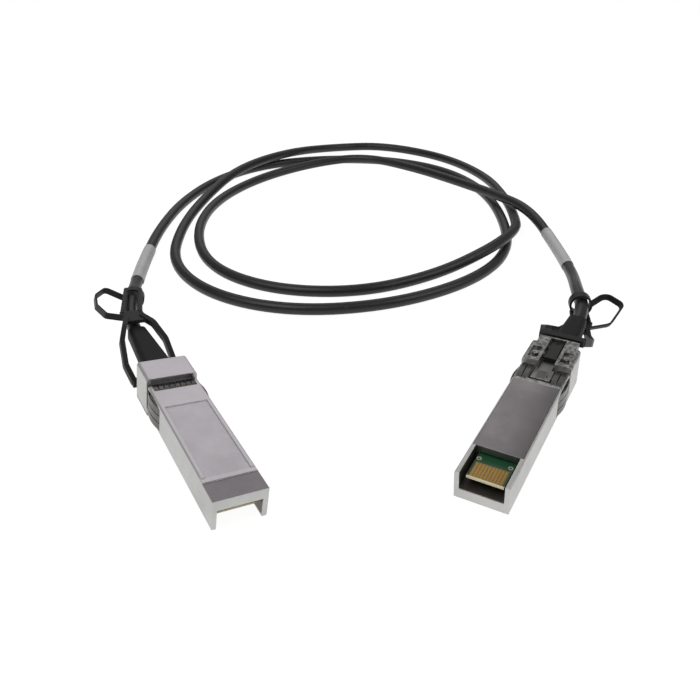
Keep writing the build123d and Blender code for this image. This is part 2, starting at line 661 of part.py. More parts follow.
def latch_spring():
    """Coil spring between the lever's paddle and its pocket above the window."""
    bottom = LEVER_TOP + SPRING_SEAT_GAP + SPRING_WIRE_RADIUS
    height = SPRING_POCKET_TOP - SPRING_SEAT_GAP - SPRING_WIRE_RADIUS - bottom
    pitch = height / SPRING_TURNS
    coil = Helix(pitch=pitch, height=height, radius=SPRING_RADIUS, center=(SPRING_STATION, 0, bottom))
    section = Plane(origin=coil @ 0, z_dir=coil % 0) * Circle(SPRING_WIRE_RADIUS)
    return sweep(section, path=coil, is_frenet=True)


def release_slide():
    """Flat slide under the jaw: a wedge for the lever's cam, stop ears and a dimpled tongue."""
    slide = centred_block(TONGUE_START, TONGUE_END, TONGUE_WIDTH, TONGUE_UNDERSIDE, TONGUE_TOP)
    ear_end = TONGUE_START + EAR_LENGTH
    slide += centred_block(TONGUE_START, ear_end, 2 * EAR_REACH, TONGUE_UNDERSIDE, TONGUE_TOP)
    wedge_top = TONGUE_TOP + WEDGE_RISE
    ramp_start = TONGUE_START + WEDGE_FLAT
    wedge_outline = (
        (TONGUE_START, TONGUE_UNDERSIDE),
        (ramp_start + WEDGE_RAMP, TONGUE_UNDERSIDE),
        (ramp_start + WEDGE_RAMP, TONGUE_TOP),
        (ramp_start, wedge_top),
        (TONGUE_START, wedge_top),
    )
    slide += side_profile(wedge_outline, TONGUE_WIDTH)
    dimple_top = TONGUE_UNDERSIDE + DIMPLE_DEPTH
    return slide - upright(DIMPLE_RADIUS, DIMPLE_STATION, 0, TONGUE_UNDERSIDE, dimple_top)


def pull_lanyard(ring_plane, loop_corners):
    """Moulded pull: cross-bar, straps, bridge, ties, cable ring and finger loop."""
    bar = centred_block(CROSSBAR_START, CROSSBAR_END, CROSSBAR_WIDTH, CROSSBAR_BOTTOM, CROSSBAR_TOP)
    bar -= centred_block(
        CROSSBAR_START,
        TONGUE_END + CROSSBAR_CLEARANCE,
        TONGUE_WIDTH + 2 * CROSSBAR_CLEARANCE,
        TONGUE_UNDERSIDE - CROSSBAR_CLEARANCE,
        TONGUE_TOP + CROSSBAR_CLEARANCE,
    )

    plate = RectangleRounded(BRIDGE_LENGTH, BRIDGE_WIDTH, BRIDGE_CORNER)
    bridge_middle = BRIDGE_START + BRIDGE_LENGTH / 2
    bridge_height = BRIDGE_BOTTOM + BRIDGE_THICKNESS / 2
    pull = bar + extrude(Plane(origin=(bridge_middle, 0, BRIDGE_BOTTOM)) * plate, amount=BRIDGE_THICKNESS)
    for corners in (LEFT_STRAP, RIGHT_STRAP):
        strap_path = FilletPolyline(*corners, radius=STRAP_RADIUS)
        pull += ribbon(strap_path, STRAP_WIDTH, STRAP_THICKNESS, (0, 1, 0))

    ring = ring_plane.offset(-RING_LENGTH / 2) * Circle(RING_OUTER)
    pull += extrude(ring, amount=RING_LENGTH)
    tie_height = math.sqrt(RING_OUTER**2 - TIE_RING_SPREAD**2)
    for side in (-1, 1):
        near = Vector(BRIDGE_START + BRIDGE_LENGTH - TIE_RADIUS, side * TIE_BRIDGE_SPREAD, bridge_height)
        far = ring_plane.from_local_coords(Vector(side * TIE_RING_SPREAD, tie_height, 0))
        tie = Plane(origin=near, z_dir=far - near) * Circle(TIE_RADIUS)
        pull += extrude(tie, amount=(far - near).length)

    loop_start = ring_plane.from_local_coords(Vector(RING_INNER + RING_WALL / 2, 0, 0))
    loop_end = (bridge_middle, BRIDGE_WIDTH / 2 - LOOP_THICKNESS, bridge_height)
    loop_path = FilletPolyline(loop_start, *loop_corners, loop_end, radius=LOOP_RADIUS)
    pull += ribbon(loop_path, LOOP_WIDTH, LOOP_THICKNESS, (1, 0, 0))
    bore = ring_plane.offset(-2 * RING_LENGTH) * Circle(RING_INNER)
    return pull - extrude(bore, amount=4 * RING_LENGTH)


def plug_plane(nose, heading, rise, roll):
    """Frame of a plug in the part: its nose, with X along its axis and Z out of its top side."""
    turn, climb, bank = (math.radians(angle) for angle in (heading, rise, roll))
    axis = Vector(math.cos(turn) * math.cos(climb), math.sin(turn) * math.cos(climb), math.sin(climb))
    level = Vector(-math.sin(turn), math.cos(turn), 0)
    side = level * math.cos(bank) + axis.cross(level) * math.sin(bank)
    return Plane(origin=nose, x_dir=axis, z_dir=axis.cross(side))


def cable_route(left_plane, right_plane):
    """Middle line of the cable from one boot to the other, with an arc at each corner."""
    left_exit = left_plane.from_local_coords(Vector(BOOT_END, 0, CABLE_HEIGHT))
    right_exit = right_plane.from_local_coords(Vector(BOOT_END, 0, CABLE_HEIGHT))
    left_turn = left_exit + left_plane.x_dir * LEFT_LEAD
    right_turn = right_exit + right_plane.x_dir * RIGHT_LEAD
    points = [left_exit, left_turn, *(Vector(*corner) for corner in ROUTE), right_turn, right_exit]
    radii = []
    for before, corner, after in zip(points, points[1:], points[2:]):
        half_turn = math.radians((corner - before).get_angle(after - corner)) / 2
        shorter = min((corner - before).length, (after - corner).length)
        radii.append(CORNER_SHARE * shorter / math.tan(half_turn))
    print("bend radii:", " ".join(str(round(radius)) for radius in radii))
    return FilletPolyline(*points, radius=radii)


def sleeve(path, start, length, inner_radius, outer_radius):
    """Tube of the given wall along a stretch of the cable's middle line."""
    stretch = path.trim(start / path.length, (start + length) / path.length)
    section = Plane(origin=stretch @ 0, z_dir=stretch % 0) * (Circle(outer_radius) - Circle(inner_radius))
    return sweep(section, path=stretch)


def ring_frame(path, distance, plug):
    """Frame of the lanyard's ring in the plug's own coordinates, its Z along the cable.

    The ring is pulled along the plug while the cable bends away, so at rest it stands off the
    cable's middle line by half of the way that it drifts.
    """
    share = distance / path.length
    on_cable = plug.to_local_coords(path.position_at(share))
    ahead = (plug.to_local_coords(path.position_at(share + 1 / path.length)) - on_cable).normalized()
    if ahead.X < 0:
        ahead = ahead * -1
    drift = (Vector(1, 0, 0) - ahead * ahead.X) * SLIDE_TRAVEL
    across = Vector(0, 1, 0) - ahead * ahead.Y
    return Plane(origin=on_cable - drift / 2, x_dir=across, z_dir=ahead)


def write_node(name, solids):
    """Write one node's solid, or its group of solids, to its own file."""
    group = solids if isinstance(solids, list) else [solids]
    pieces = [piece for solid in group for piece in solid.solids()]
    export_step(Compound(children=pieces), f"parts/{name}.step")


def main():
    """Build both plugs and the cable, and write every node."""
    os.makedirs("parts", exist_ok=True)
    left_plane = plug_plane(*LEFT_PLUG)
    right_plane = plug_plane(*RIGHT_PLUG)
    route = cable_route(left_plane, right_plane)
    tube = sweep(Plane(origin=route @ 0, z_dir=route % 0) * Circle(CABLE_RADIUS), path=route)
    swept_share = tube.volume / (math.pi * CABLE_RADIUS**2 * route.length)
    print("cable length:", round(route.length, 1), "tube volume ratio:", round(swept_share, 4))

    shared = {
        "upper_shell": upper_shell(),
        "lower_cover": lower_cover(),
        "emi_collar": emi_collar(),
        "paddle_card": paddle_card(),
        "gold_contacts": gold_contacts(),
        "card_parts": card_parts(),
        "twinax_conductors": twinax_conductors(),
        "crimp_ferrule": crimp_ferrule(),
        "boot": boot(),
        "latch_lever": latch_lever(),
        "pivot_pin": pivot_pin(),
        "latch_spring": latch_spring(),
        "release_slide": release_slide(),
    }
    buried_cable = along_plug(Circle(CABLE_RADIUS), CABLE_CUT_STATION, BOOT_END, CABLE_HEIGHT)
    right_ring = route.length - RIGHT_RING_REACH
    right_label = route.length - RIGHT_LABEL_REACH - LABEL_LENGTH
    ends = (
        ("left", left_plane, LEFT_RING_REACH, LEFT_LOOP, LEFT_LABEL_REACH),
        ("right", right_plane, right_ring, RIGHT_LOOP, right_label),
    )
    for side, plane, ring_distance, loop_corners, label_distance in ends:
        for name, solids in shared.items():
            group = solids if isinstance(solids, list) else [solids]
            write_node(f"{side}_{name}", [plane.location * solid for solid in group])
        lanyard = pull_lanyard(ring_frame(route, ring_distance, plane), loop_corners)
        write_node(f"{side}_pull_lanyard", plane.location * lanyard)
        inner = CABLE_RADIUS + LABEL_CLEARANCE
        label = sleeve(route, label_distance, LABEL_LENGTH, inner, inner + LABEL_THICKNESS)
        write_node(f"{side}_cable_label", label)
        tube += plane.location * buried_cable
    write_node("cable", tube)


main()
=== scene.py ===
"""Looks of a direct attach copper cable: two metal plugs with their pulls, and the cable."""

import enum
import logging
import math
from dataclasses import dataclass

import bpy
from mathutils import Matrix, Vector


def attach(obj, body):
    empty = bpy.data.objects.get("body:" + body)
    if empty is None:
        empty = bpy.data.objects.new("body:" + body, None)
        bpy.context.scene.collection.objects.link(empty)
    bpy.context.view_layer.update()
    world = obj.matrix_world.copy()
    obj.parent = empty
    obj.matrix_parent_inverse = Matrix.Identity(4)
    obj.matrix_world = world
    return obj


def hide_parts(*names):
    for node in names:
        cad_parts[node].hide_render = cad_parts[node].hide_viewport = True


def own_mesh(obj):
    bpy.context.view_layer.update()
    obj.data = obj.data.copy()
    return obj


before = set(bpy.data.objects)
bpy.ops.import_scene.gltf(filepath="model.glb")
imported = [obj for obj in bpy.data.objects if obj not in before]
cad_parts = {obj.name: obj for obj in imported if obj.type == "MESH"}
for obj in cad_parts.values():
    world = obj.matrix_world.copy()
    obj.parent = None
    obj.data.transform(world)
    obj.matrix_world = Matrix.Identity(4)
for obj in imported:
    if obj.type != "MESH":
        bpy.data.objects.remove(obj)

log = logging.getLogger("cable")
Colour = tuple[float, float, float]
Point = tuple[float, float, float]

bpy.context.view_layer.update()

FULL_TURN = 2 * math.pi
WHITE: Colour = (1.0, 1.0, 1.0)
LEFT_LABEL_REACH = 0.0485
RIGHT_LABEL_REACH = 0.0555


class Side(enum.Enum):
    """Which end of the cable a plug is on."""

    LEFT = "left"
    RIGHT = "right"


class Grain(enum.Enum):
    """How a metal surface is finished."""

    CAST = "cast"
    BRUSHED = "brushed"
    STAMPED = "stamped"


@dataclass(frozen=True)
class Seat:
    """Where one plug lies: its nose, the heading and rise of its axis, and its roll."""

    nose: Point
    heading: float
    rise: float
    roll: float

    def axes(self) -> tuple[Vector, Vector, Vector]:
        """Work out the plug's own axes.

        Returns:
            Unit vectors along the plug, across it and out of its top side.
        """
        turn, climb, bank = (math.radians(angle) for angle in (self.heading, self.rise, self.roll))
        reach = math.cos(climb)
        axis = Vector((math.cos(turn) * reach, math.sin(turn) * reach, math.sin(climb)))
        level = Vector((-math.sin(turn), math.cos(turn), 0.0))
        across = level * math.cos(bank) + axis.cross(level) * math.sin(bank)
        return axis, across, axis.cross(across)

    def turn(self) -> Point:
        """Turn of the plug's frame in the part's frame, as X, Y and Z angles."""
        return tuple(Matrix(self.axes()).transposed().to_euler("XYZ"))

    def point(self, along: float, across: float, above: float) -> Vector:
        """Place in the part's frame of a point given in the plug's own frame, in metres."""
        axis, side, top = self.axes()
        return Vector(self.nose) + axis * along + side * across + top * above


LEFT_SEAT = Seat((-0.02706, -0.04791, 0.00095), 119.96, 2.20, 8.13)
RIGHT_SEAT = Seat((0.02738, -0.04203, 0.00825), 60.11, 4.54, 178.23)


class Signal:
    """A shader socket that takes part in Python arithmetic."""

    def __init__(self, graph: "Graph", socket: bpy.types.NodeSocket) -> None:
        """Keep the socket and the graph that it belongs to.

        Args:
            graph: the graph that new Math nodes go into.
            socket: the output socket that this value comes from.
        """
        self.graph = graph
        self.socket = socket

    def _math(self, operation: str, first: "Signal | float", second: "Signal | float") -> "Signal":
        """Add one Math node.

        Args:
            operation: the Math node's operation.
            first: the first value.
            second: the second value.

        Returns:
            The node's result.
        """
        return self.graph.add("ShaderNodeMath", {"operation": operation}, {0: first, 1: second})

    def __add__(self, other: "Signal | float") -> "Signal":
        """Sum of two values."""
        return self._math("ADD", self, other)

    def __radd__(self, other: float) -> "Signal":
        """Sum with a number on the left."""
        return self._math("ADD", other, self)

    def __sub__(self, other: "Signal | float") -> "Signal":
        """Difference of two values."""
        return self._math("SUBTRACT", self, other)

    def __rsub__(self, other: float) -> "Signal":
        """Difference with a number on the left."""
        return self._math("SUBTRACT", other, self)

    def __mul__(self, other: "Signal | float") -> "Signal":
        """Product of two values."""
        return self._math("MULTIPLY", self, other)

    def __rmul__(self, other: float) -> "Signal":
        """Product with a number on the left."""
        return self._math("MULTIPLY", other, self)

    def clamped(self) -> "Signal":
        """The value kept between 0 and 1."""
        return self._math("MINIMUM", self._math("MAXIMUM", self, 0.0), 1.0)

    def swing(self, amount: float) -> "Signal":
        """How far a noise value lies from its middle, times an amount."""
        return (self - 0.5) * amount


@dataclass(frozen=True)
class Texture:
    """Noise of one coarseness, with the values at which its patches begin and are full."""

    scale: float
    detail: float
    low: float = 0.0
    high: float = 1.0


class Graph:
    """One material's nodes."""

    MASK_BLUR = 0.00012
    SPOT_BLUR = 0.00003
    EDGE_TURN = 0.12
    FACING_FROM = 0.6
    FACING_FULL = 0.85
    BEVEL_SAMPLES = 4

    def __init__(self, name: str) -> None:
        """Start an empty material with a Principled shader.

        Args:
            name: the material's name.
        """
        self.material = bpy.data.materials.new(name)
        self.material.use_nodes = True
        self.tree = self.material.node_tree
        self.tree.nodes.clear()
        self.shader = self.tree.nodes.new("ShaderNodeBsdfPrincipled")
        self.surface = self.tree.nodes.new("ShaderNodeOutputMaterial").inputs["Surface"]
        self.tree.links.new(self.shader.outputs[0], self.surface)

    def feed(self, socket: bpy.types.NodeSocket, value: "Signal | float | Colour") -> None:
        """Link or set one input socket.

        Args:
            socket: the input socket.
            value: a signal to link, or a number, vector or colour to set.
        """
        if isinstance(value, Signal):
            self.tree.links.new(value.socket, socket)
        elif isinstance(value, tuple) and socket.type == "RGBA":
            socket.default_value = (*value, 1.0)
        else:
            socket.default_value = value

    def add(self, kind: str, settings: dict, inputs: dict, output: int | str = 0) -> Signal:
        """Add any node.

        Args:
            kind: the node's type.
            settings: its properties.
            inputs: the values or links of its sockets, by name or number.
            output: the output socket to use.

        Returns:
            The chosen output.
        """
        node = self.tree.nodes.new(kind)
        for key, value in settings.items():
            setattr(node, key, value)
        for key, value in inputs.items():
            self.feed(node.inputs[key], value)
        return Signal(self, node.outputs[output])

    def place(self, seat: "Seat | None" = None, scale: Point = (1.0, 1.0, 1.0)) -> Signal:
        """Coordinates of the surface, stretched.

        Args:
            seat: the plug whose own frame they are in, or none for the whole part's frame.
            scale: stretch along each axis.

        Returns:
            The coordinates.
        """
        raw = self.add("ShaderNodeTexCoord", {}, {}, "Object")
        if seat is not None:
            inputs = {"Vector": raw, "Location": seat.nose, "Rotation": seat.turn()}
            raw = self.add("ShaderNodeMapping", {"vector_type": "TEXTURE"}, inputs)
        return self.add("ShaderNodeMapping", {}, {"Vector": raw, "Scale": scale})

    def axes(self, seat: "Seat") -> tuple[Signal, Signal, Signal]:
        """The surface's place along a plug, across it and above its underside, in metres."""
        split = self.add("ShaderNodeSeparateXYZ", {}, {"Vector": self.place(seat)}).socket.node
        return tuple(Signal(self, split.outputs[axis]) for axis in range(3))

    def band(self, value: Signal, low: float, high: float) -> Signal:
        """Mask that is 1 between two values and 0 outside them.

        Args:
            value: the value.
            low: where the mask begins.
            high: where the mask ends.

        Returns:
            The mask.
        """
        rise = self.spread(value, low - self.MASK_BLUR, low + self.MASK_BLUR)
        return rise * (1.0 - self.spread(value, high - self.MASK_BLUR, high + self.MASK_BLUR))

    def noise(self, texture: Texture, where: Signal | None = None) -> Signal:
        """Noise between 0 and 1.

        Args:
            texture: how coarse and how fine it is.
            where: the coordinates, or none for the plain ones.

        Returns:
            The noise value.
        """
        inputs = {"Vector": where or self.place(), "Scale": texture.scale, "Detail": texture.detail}
        return self.add("ShaderNodeTexNoise", {}, inputs, "Fac")

    def patches(self, texture: Texture) -> Signal:
        """Mask of a texture's patches."""
        return self.spread(self.noise(texture), texture.low, texture.high)

    def spread(self, value: Signal, low: float, high: float) -> Signal:
        """Stretch a value so that low becomes 0 and high becomes 1, and clamp it."""
        return ((value - low) * (1.0 / (high - low))).clamped()

    def mix(self, share: Signal | float, first: Signal | Colour, second: Signal | Colour) -> Signal:
        """Mix two colours.

        Args:
            share: how much of the second colour.
            first: the first colour.
            second: the second colour.

        Returns:
            The mixed colour.
        """
        return self.add("ShaderNodeMix", {"data_type": "RGBA"}, {0: share, 6: first, 7: second}, 2)

    def soft_edges(self, radius: float) -> Signal:
        """Normal that rounds sharp edges.

        Args:
            radius: the rounding in metres.

        Returns:
            The bent normal.
        """
        settings = {"samples": self.BEVEL_SAMPLES}
        return self.add("ShaderNodeBevel", settings, {"Radius": radius}, "Normal")

    def agreement(self, other: Signal | Point) -> Signal:
        """Compare the surface's own normal with another direction.

        Args:
            other: a normal, or a direction of length 1.

        Returns:
            The cosine of the angle between them.
        """
        inputs = {0: self.add("ShaderNodeNewGeometry", {}, {}, "Normal"), 1: other}
        return self.add("ShaderNodeVectorMath", {"operation": "DOT_PRODUCT"}, inputs, "Value")

    def worn_edges(self, radius: float) -> Signal:
        """Mask that is 1 along sharp edges and 0 on flats.

        Args:
            radius: how far from an edge it reaches, in metres.

        Returns:
            The mask.
        """
        return self.spread(1.0 - self.agreement(self.soft_edges(radius)), 0.0, self.EDGE_TURN)

    def facing(self, direction: Vector) -> Signal:
        """Mask of the faces that look one way.

        Args:
            direction: the way that they look, of length 1.

        Returns:
            The mask.
        """
        return self.spread(self.agreement(tuple(direction)), self.FACING_FROM, self.FACING_FULL)

    def spot(self, seat: "Seat", centre: Point, radius: float) -> Signal:
        """Mask of the ball round one place of a plug.

        Args:
            seat: the plug.
            centre: the place in the plug's own frame, in metres.
            radius: the ball's radius.

        Returns:
            The mask.
        """
        inputs = {0: self.place(seat), 1: centre}
        away = self.add("ShaderNodeVectorMath", {"operation": "DISTANCE"}, inputs, "Value")
        return 1.0 - self.spread(away, radius - self.SPOT_BLUR, radius + self.SPOT_BLUR)

    def bump(self, height: Signal, depth: float, normal: Signal | None = None) -> Signal:
        """Normal bent by a height.

        Args:
            height: the height between 0 and 1.
            depth: what a height of 1 stands for, in metres.
            normal: the normal to start from.

        Returns:
            The bent normal.
        """
        inputs = {"Height": height, "Strength": 1.0, "Distance": depth}
        if normal is not None:
            inputs["Normal"] = normal
        return self.add("ShaderNodeBump", {}, inputs, "Normal")

    def finish(self, **sockets: "Signal | float | Colour") -> bpy.types.Material:
        """Feed the shader's sockets.

        Args:
            **sockets: value by socket name.

        Returns:
            The finished material.
        """
        names = {
            "base": "Base Color",
            "roughness": "Roughness",
            "metallic": "Metallic",
            "normal": "Normal",
            "specular": "Specular IOR Level",
            "coat": "Coat Weight",
            "coat_roughness": "Coat Roughness",
        }
        for key, value in sockets.items():
            self.feed(self.shader.inputs[names[key]], value)
        return self.material


@dataclass(frozen=True)
class MetalFinish:
    """A plated or bare metal.

    The colour drifts a little over the surface, edges are worn brighter, and the grain is cast
    pimples, drawn lines or the faint orange peel of stamped sheet.
    """

    BLOTCHES = Texture(160.0, 3.0, 0.35, 0.68)
    PIMPLES = Texture(2600.0, 4.0)
    LINES = Texture(420.0, 5.0)
    RIPPLES = Texture(900.0, 5.0)
    PEEL = Texture(1400.0, 2.0)
    SMUDGES = Texture(75.0, 6.0, 0.48, 0.75)
    LINE_STRETCH = (1.0, 26.0, 26.0)
    DEPTHS = {Grain.CAST: 0.000016, Grain.BRUSHED: 0.000006, Grain.STAMPED: 0.000008}
    WEAR_REACH = 1.4
    GRAIN_ROUGHNESS = 0.16
    SMUDGE_ROUGHNESS = 0.07

    name: str
    seat: Seat
    colour: Colour
    drift: Colour
    grain: Grain
    roughness: float
    metallic: float = 1.0
    edge: Colour = (0.85, 0.84, 0.83)
    wear: float = 0.35
    edge_radius: float = 0.00018

    def tint(self, graph: Graph, body: Signal) -> Signal:
        """Colour of the bare surface, before wear."""
        return body

    def build(self) -> bpy.types.Material:
        """Make the material.

        Returns:
            The material.
        """
        graph = Graph(self.name)
        blotch = graph.patches(self.BLOTCHES)
        fine = graph.noise(self.PIMPLES)
        if self.grain is Grain.BRUSHED:
            height = ripple = graph.noise(self.LINES, graph.place(self.seat, self.LINE_STRETCH))
        elif self.grain is Grain.CAST:
            height, ripple = fine, graph.noise(self.RIPPLES)
        else:
            height, ripple = graph.noise(self.PEEL), fine
        wear = graph.worn_edges(self.edge_radius * self.WEAR_REACH) * self.wear
        body = self.tint(graph, graph.mix(blotch, self.colour, self.drift))
        roughness = self.roughness + ripple.swing(self.GRAIN_ROUGHNESS)
        roughness = roughness + graph.patches(self.SMUDGES) * self.SMUDGE_ROUGHNESS
        return graph.finish(
            base=graph.mix(wear, body, self.edge),
            roughness=roughness.clamped(),
            metallic=self.metallic,
            normal=graph.bump(height, self.DEPTHS[self.grain], graph.soft_edges(self.edge_radius)),
        )


@dataclass(frozen=True)
class CastingFinish(MetalFinish):
    """The housing's plated casting.

    Its up-facing faces carry a painted purple reflection, its nose step painted shade, the
    underside of its head and the step behind it speckled painted shade, and the inside of its nose
    painted shadow that is nearly black.
    """

    CLOUDS = Texture(120.0, 5.0, 0.38, 0.66)
    SPECKS = Texture(900.0, 4.0, 0.36, 0.58)
    FLOOR_SHADE = 0.30
    FLOOR_CLOUDS = 0.5
    # painted shade under the head and on the down-facing step behind it, speckled
    HEAD_SHADE = 0.35
    HEAD_SPECKS = 0.6
    TAIL_SHADE = 0.9
    MOUTH_SHADE = 0.85

    # painted reflection: purple tint of the up-facing faces, standing in for the room mirrored in
    # the metal
    top: Colour = (0.66, 0.62, 0.655)
    # painted shade on the nose step's top
    step: Colour = (0.265, 0.245, 0.26)
    recess: Colour = (0.52, 0.49, 0.52)
    # colour of the painted shade under the head
    under_shade: Colour = (0.15, 0.145, 0.143)
    # painted shadow inside the nose's mouth
    inside: Colour = (0.060, 0.044, 0.028)
    step_start: float = -0.001
    step_end: float = 0.0064
    recess_start: float = 0.0078
    recess_end: float = 0.0365
    recess_half: float = 0.0055
    tail_start: float = 0.0397
    head_start: float = 0.0475
    head_end: float = 0.0605
    head_skin: float = 0.0004
    mouth_lip: float = 0.0003
    mouth_end: float = 0.0104
    mouth_half: float = 0.0058
    mouth_roof: float = 0.0054

    def tint(self, graph: Graph, body: Signal) -> Signal:
        """Paint the up-facing reflection, the nose step's shade, the recess floor's clouds, the
        shade under the head and the shadow in the mouth.

        Args:
            graph: the material's graph.
            body: the casting's plain colour.

        Returns:
            The shaded colour.
        """
        along, across, above = graph.axes(self.seat)
        up = self.seat.axes()[2]
        # up-facing mask: carries the painted reflection, and bounds the nose step and the recess
        top = graph.facing(up)
        # painted shade on the nose step
        step = top * graph.band(along, self.step_start, self.step_end)
        floor = top * graph.band(along, self.recess_start, self.recess_end)
        floor = floor * graph.band(across, -self.recess_half, self.recess_half)
        floor = floor * (self.FLOOR_SHADE + graph.patches(self.CLOUDS) * self.FLOOR_CLOUDS)
        below = 1.0 - graph.spread(above, -self.head_skin, 0.0)
        # painted shade under the head and on the down-facing step behind it, speckled
        head = graph.band(along, self.head_start, self.head_end) * below
        tail = graph.facing(-up) * graph.band(along, self.tail_start, self.head_start)
        speckle = self.HEAD_SHADE + graph.patches(self.SPECKS) * self.HEAD_SPECKS
        shade_under = (head + tail * self.TAIL_SHADE).clamped() * speckle
        # painted shadow inside the mouth, nearly black
        mouth = graph.band(along, self.mouth_lip, self.mouth_end)
        mouth = mouth * graph.band(across, -self.mouth_half, self.mouth_half)
        mouth = mouth * graph.band(above, self.mouth_lip, self.mouth_roof) * self.MOUTH_SHADE
        shaded = graph.mix(floor, graph.mix(top, body, self.top), self.recess)
        shaded = graph.mix(shade_under, graph.mix(step, shaded, self.step), self.under_shade)
        return graph.mix(mouth, shaded, self.inside)


@dataclass(frozen=True)
class CoverFinish(MetalFinish):
    """The bottom cover's drawn plate, with painted shade towards one side."""

    CLOUDS = Texture(90.0, 3.0)
    CLOUD_REACH = 0.004

    # painted shade towards one side of the plate
    side_shade: Colour = (0.17, 0.158, 0.163)
    side_shade_start: float = 0.001
    side_shade_full: float = 0.008

    def tint(self, graph: Graph, body: Signal) -> Signal:
        """Paint shade across the plate's width, deepest towards one side.

        Args:
            graph: the material's graph.
            body: the plate's plain colour.

        Returns:
            The darkened colour.
        """
        _, across, _ = graph.axes(self.seat)
        # clouded edge of the painted shade
        across = across + graph.noise(self.CLOUDS) * self.CLOUD_REACH
        return graph.mix(graph.spread(across, self.side_shade_start, self.side_shade_full), body, self.side_shade)


@dataclass(frozen=True)
class MouldedFinish:
    """Black or grey moulded plastic or rubber with spark-eroded mould texture."""

    PEBBLES = Texture(1900.0, 3.0)
    HANDLED = Texture(110.0, 4.0, 0.42, 0.72)
    PEBBLE_DEPTH = 0.000014
    PEBBLE_ROUGHNESS = 0.22
    RUB_REACH = 1.3
    RUB_SHARE = 0.55
    RUB_POLISH = 0.10
    HANDLED_SHARE = 0.35

    name: str
    colour: Colour
    shine: Colour
    roughness: float
    specular: float = 0.5
    edge_radius: float = 0.00022

    def build(self) -> bpy.types.Material:
        """Make the material.

        Returns:
            The material.
        """
        graph = Graph(self.name)
        pebble = graph.noise(self.PEBBLES)
        rubbed = graph.worn_edges(self.edge_radius * self.RUB_REACH)
        share = rubbed * self.RUB_SHARE + graph.patches(self.HANDLED) * self.HANDLED_SHARE
        roughness = self.roughness + pebble.swing(self.PEBBLE_ROUGHNESS) - rubbed * self.RUB_POLISH
        return graph.finish(
            base=graph.mix(share.clamped(), self.colour, self.shine),
            roughness=roughness.clamped(),
            specular=self.specular,
            normal=graph.bump(pebble, self.PEBBLE_DEPTH, graph.soft_edges(self.edge_radius)),
        )


@dataclass(frozen=True)
class JacketFinish:
    """Extruded cable jacket: faint die marks, dust and a satin shine."""

    MARKS = Texture(700.0, 4.0)
    DUST = Texture(420.0, 6.0, 0.55, 0.80)
    HANDLED = Texture(34.0, 3.0, 0.40, 0.70)
    PEEL = Texture(1500.0, 2.0)
    DUST_SHARE = 0.35
    HANDLED_SHARE = 0.22
    MARK_ROUGHNESS = 0.14
    HANDLED_ROUGHNESS = 0.08
    MARK_RELIEF = 0.6
    PEEL_RELIEF = 0.4
    DEPTH = 0.000020

    name: str = "cable_jacket"
    colour: Colour = (0.012, 0.0125, 0.012)
    dust: Colour = (0.040, 0.041, 0.041)
    roughness: float = 0.36
    specular: float = 0.45

    def build(self) -> bpy.types.Material:
        """Make the material.

        Returns:
            The material.
        """
        graph = Graph(self.name)
        marks = graph.noise(self.MARKS)
        handled = graph.patches(self.HANDLED)
        share = graph.patches(self.DUST) * self.DUST_SHARE + handled * self.HANDLED_SHARE
        roughness = self.roughness + marks.swing(self.MARK_ROUGHNESS)
        relief = marks * self.MARK_RELIEF + graph.noise(self.PEEL) * self.PEEL_RELIEF
        return graph.finish(
            base=graph.mix(share.clamped(), self.colour, self.dust),
            roughness=(roughness + handled * self.HANDLED_ROUGHNESS).clamped(),
            specular=self.specular,
            normal=graph.bump(relief, self.DEPTH),
        )


